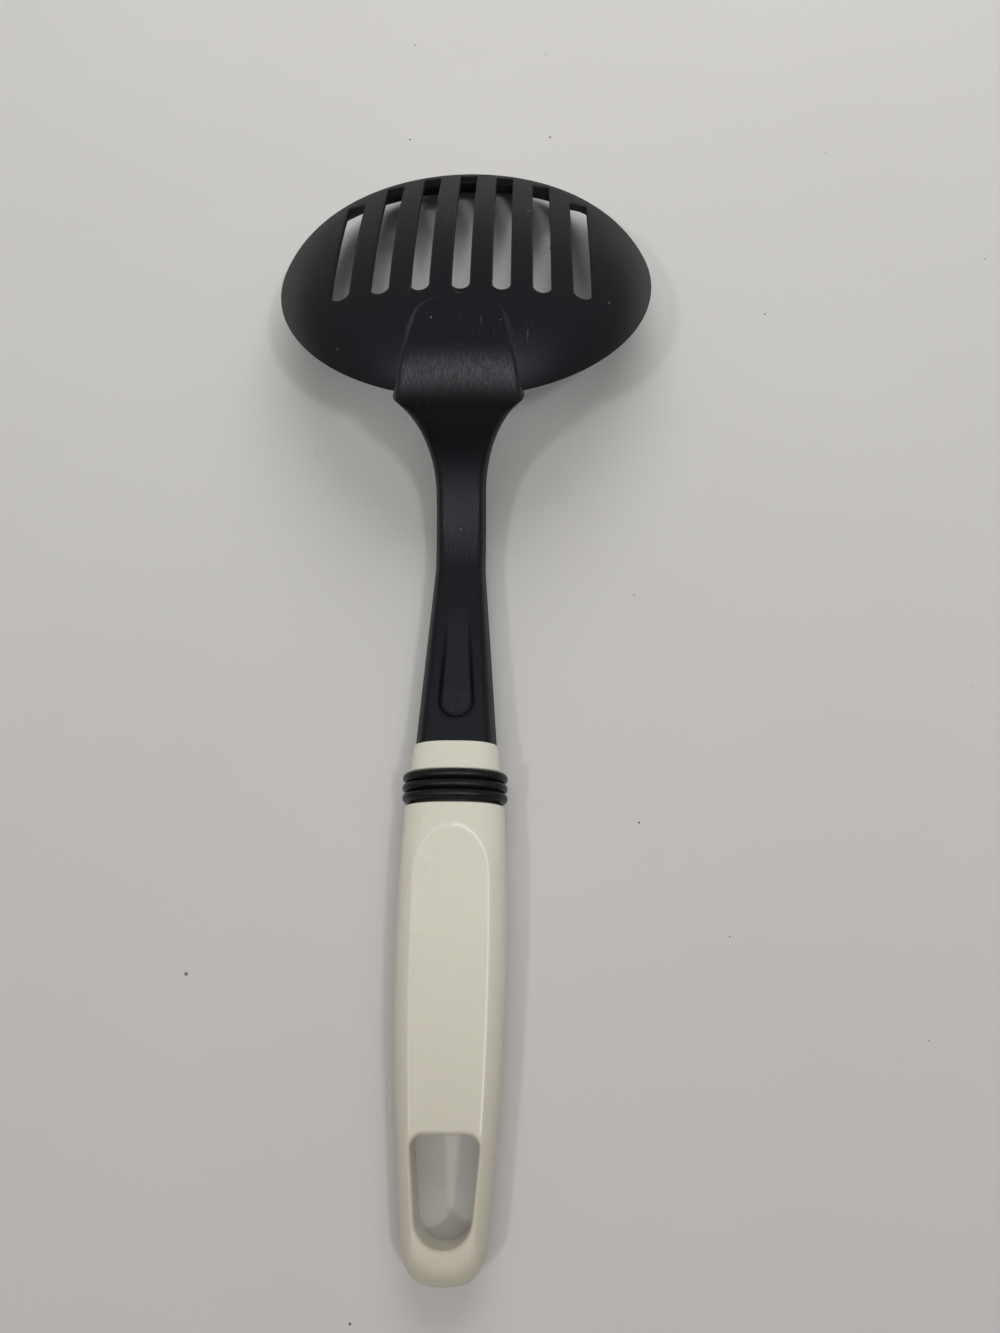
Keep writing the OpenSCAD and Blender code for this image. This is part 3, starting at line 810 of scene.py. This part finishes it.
handle = body("cream_handle", handle_rings, place=centred)
socket = bar_rings(tang_w / 2 + tang_gap, tang_t / 2 + tang_gap,
                   mouth_y - tang_l - tang_end_gap, mouth_y + socket_past)
moulded(handle, body("hole_and_socket", hole_rings(), socket, place=centred), "DIFFERENCE")
smooth(handle)

tail_shade_l = 30 * mm
groove_shade_edge = 0.12 * mm
cream, tree, bsdf = shader("cream_plastic")
skin_of = placed(tree, mould_skin, Grain=1500, Clouds=28, Stretch=0.6)
dirt = placed(tree, specks, Cells=150, Size=0.05, Share=0.06)
rubbed = placed(tree, scuffs, Lines=1100, Patches=70, Rare=0.56)
edge_highlight_fac = part(tree, "Attribute", attribute_name="edge_highlight").outputs["Fac"]
place_y = along(tree, "Object", "Y")
colour = blended(tree, skin_of["Cloud"], (0.665, 0.64, 0.55), (0.70, 0.685, 0.59))
colour = blended(tree, dirt["Mask"], colour, (0.25, 0.23, 0.19))
# painted shade: darker towards the tail, where less light falls, and dark in the open groove
tail_shade = ramp(tree, place_y, -mid_y - tail_shade_l, -mid_y - grip_l)
colour = blended(tree, tail_shade, colour, (0.74, 0.715, 0.685), "MULTIPLY")
colour = blended(tree, rubbed["Mask"], colour, (0.60, 0.575, 0.49))
# painted shade: a dark strip on the groove's open floor behind the rear ring
from_rear = ramp(tree, place_y, -mid_y - groove_rear, -mid_y - groove_rear + groove_shade_edge)
to_front = ramp(tree, place_y, -mid_y + groove_half, -mid_y + groove_half - groove_shade_edge)
colour = blended(tree, maths(tree, "MULTIPLY", from_rear, to_front), colour, (0.03, 0.028, 0.024))
# painted highlight: the facets' edges are painted bright
colour = blended(tree, edge_highlight_fac, colour, (0.9, 0.885, 0.82))
feed(tree, bsdf, {"Base Color": colour, "Roughness": ramp(tree, skin_of["Cloud"], 0.1, 0.9, 0.22, 0.36),
                  "Subsurface Weight": 0.4, "Subsurface Scale": 3 * mm,
                  "Normal": bump(tree, skin_of["Height"], 0.12, 0.04 * mm)})
handle.data.materials.append(cream)

# How much painted highlight each place gets: the facet's edge from near the rings to the hanging
# hole, within a small rise of the side over the facet, and more on the right
highlight_rise = 0.16 * mm
highlight_from, highlight_to = 0.08, 0.72
highlight_left, highlight_right = 0.3, 0.8
facet_reach = 1 * mm
edge_highlight = handle.data.attributes.new("edge_highlight", "FLOAT", "POINT")
# painted highlight along the facet's edges
for v in handle.data.vertices:
    s = -(v.co.y + mid_y) / grip_l
    if highlight_from < s < highlight_to and v.co.z > flats(s) - facet_reach:
        across = min(1.0, abs(v.co.x) / (grip_width(s) / 2))
        rise = grip_height(s) / 2 * (1 - across ** grip_power) ** (1 / grip_power) - flats(s) / 2
        near = max(0.0, 1 - abs(rise) / highlight_rise)
        edge_highlight.data[v.index].value = near * (highlight_right if v.co.x > 0 else highlight_left)
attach(handle, "root")
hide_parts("handle")


# The rings: three black rubber O-rings, rolled over the collar and seated side by side in the
# groove, so that each shows a thin dull line along its top and a dark gap to the next.
rubber, tree, bsdf = shader("ring_rubber")
skin_of = placed(tree, mould_skin, Grain=1300, Clouds=300, Stretch=1)
colour = blended(tree, skin_of["Cloud"], (0.003, 0.003, 0.0035), (0.007, 0.007, 0.008))
feed(tree, bsdf, {"Base Color": colour, "Roughness": ramp(tree, skin_of["Cloud"], 0.3, 0.7, 0.2, 0.42),
                  "Specular IOR Level": 0.42, "Normal": bump(tree, skin_of["Height"], 1, 0.09 * mm)})
ring_sides, cord_sides = 192, 28
for place, name in enumerate(ring_places):
    y = (1 - place) * (ring_d + ring_gap)
    bm = bmesh.new()
    rows = []
    for i in range(ring_sides):
        a = 2 * math.pi * i / ring_sides
        row = []
        for k in range(cord_sides):
            turn = 2 * math.pi * k / cord_sides
            x, up = ring_line(a, -ring_d / 2 * math.cos(turn))
            row.append(bm.verts.new((x, y + ring_d / 2 * math.sin(turn), axis_z + up)))
        rows.append(row)
    for i, row in enumerate(rows):
        ahead = rows[(i + 1) % ring_sides]
        for k in range(cord_sides):
            j = (k + 1) % cord_sides
            bm.faces.new((row[k], row[j], ahead[j], ahead[k])).smooth = True
    bmesh.ops.recalc_face_normals(bm, faces=bm.faces)
    bm.transform(centred)
    ring = shown("rubber_ring_" + name, bm)
    ring.data.materials.append(rubber)
    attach(ring, "root")
    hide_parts("ring_" + name)


# The table: a large, plain, pale grey sheet with a few crumbs on it. It is painted darker, as
# shade, on the side where one stands.
table_half = 1.5
bm = bmesh.new()
bmesh.ops.create_grid(bm, x_segments=1, y_segments=1, size=table_half)
table = shown("table", bm)
sheet, tree, bsdf = shader("pale_sheet")
skin_of = placed(tree, mould_skin, Grain=900, Clouds=9, Stretch=1)
crumbs = placed(tree, specks, Cells=42, Size=0.02, Share=0.16)
colour = blended(tree, skin_of["Cloud"], (0.575, 0.562, 0.545), (0.615, 0.603, 0.588))
colour = blended(tree, crumbs["Mask"], colour, (0.16, 0.15, 0.14))
# painted shade: the sheet darkens towards the side where one stands
near = ramp(tree, along(tree, "Object", "Y"), 0.1, -0.25)
colour = blended(tree, near, colour, (0.88, 0.87, 0.86), "MULTIPLY")
feed(tree, bsdf, {"Base Color": colour, "Roughness": 0.7, "Specular IOR Level": 0.3,
                  "Normal": bump(tree, skin_of["Height"], 0.1, 0.05 * mm)})
table.data.materials.append(sheet)


# The light: two soft lamps beyond the handle's end and a window beyond the bowl, in a pale room.
# They only light the spoon, and a small part of each lamp leaves its glint. What shines on the
# plastic is the room itself, brighter overhead and beyond the bowl than where one stands.
def lamp(name, place, width, height, power, shines=False):
    """A soft lamp that looks at the spoon's middle."""
    light = bpy.data.lights.new(name, "AREA")
    light.shape = "ELLIPSE"
    light.size, light.size_y = width, height
    light.energy = power
    made = put(name, light)
    made.location = place
    made.rotation_euler = Vector(place).to_track_quat("Z", "Y").to_euler()
    made.visible_glossy = shines


left_place = (-0.60, -0.50, 1.15)
right_place = (0.46, -0.38, 1.15)
lamp_w, glint_w, glint_power = 0.15, 0.1, 0.8
lamp("left_lamp", left_place, lamp_w, lamp_w, 1.9)
lamp("right_lamp", right_place, lamp_w, lamp_w, 1.7)
lamp("left_glint", left_place, glint_w, glint_w, glint_power, True)
lamp("right_glint", right_place, glint_w, glint_w, glint_power, True)
lamp("window", (0.07, 0.6, 0.55), 0.8, 0.5, 3.3)

room = bpy.data.worlds.new("room")
room.use_nodes = True
tree = room.node_tree
glow_way = (0.04, -0.26, 0.965)
backdrop = 0.75
way = part(tree, "TexCoord").outputs["Generated"]
turned_to = part(tree, "VectorMath", {0: way, 1: glow_way}, operation="DOT_PRODUCT").outputs["Value"]
glow = ramp(tree, turned_to, 0.8, 1, 0, 0.9, interpolation_type="SMOOTHSTEP")
ahead = along(tree, "Generated", "Y")
aside = maths(tree, "ABSOLUTE", along(tree, "Generated", "X"))
walls = ramp(tree, ahead, -0.8, -0.4, 0.02, 0.28)
walls = maths(tree, "MULTIPLY", walls, ramp(tree, ahead, 0.4, 1, 1, 0.65))
walls = maths(tree, "MULTIPLY", walls, ramp(tree, aside, 0.55, 0.95, 1, 0.75))
level = maths(tree, "ADD", glow, walls)
# what one sees behind the table is a plain pale wall
seen = part(tree, "LightPath").outputs["Is Camera Ray"]
level = part(tree, "Mix", {"Factor": seen, "A": level, "B": backdrop}).outputs[0]
feed(tree, tree.nodes["Background"], {"Color": (1, 0.99, 0.975, 1), "Strength": level})
bpy.context.scene.world = room
bpy.context.scene.view_settings.view_transform = "Standard"


# The camera: a telephone held over the spoon, turned and rolled by a few degrees and leaning a
# little towards the bowl, with a lens as wide as one of 27 mm on 36 mm film.
camera_lean, camera_turn, camera_roll = 0.3402, 0.0753, -0.0689
camera_place = (18.5301 * mm, -57.5919 * mm - mid_y, 270.0417 * mm)
film_h = 36
photo_w, photo_h = 1000, 1333
side = Vector((1, 0, 0))
level_up = Vector((0, math.cos(camera_lean), math.sin(camera_lean)))
turn = Matrix.Rotation(camera_turn, 3, "Z")
look = turn @ Vector((0, math.sin(camera_lean), -math.cos(camera_lean)))
right = turn @ (math.cos(camera_roll) * side + math.sin(camera_roll) * level_up)
up = turn @ (math.cos(camera_roll) * level_up - math.sin(camera_roll) * side)
camera = put("camera", bpy.data.cameras.new("camera"))
camera.data.sensor_fit = "VERTICAL"
camera.data.sensor_height = film_h
camera.data.lens = film_h * photo_w / photo_h
camera.data.clip_start = 10 * mm
facing = Matrix((right, up, -look)).transposed().to_4x4()
camera.matrix_world = Matrix.Translation(camera_place) @ facing
bpy.context.scene.camera = camera
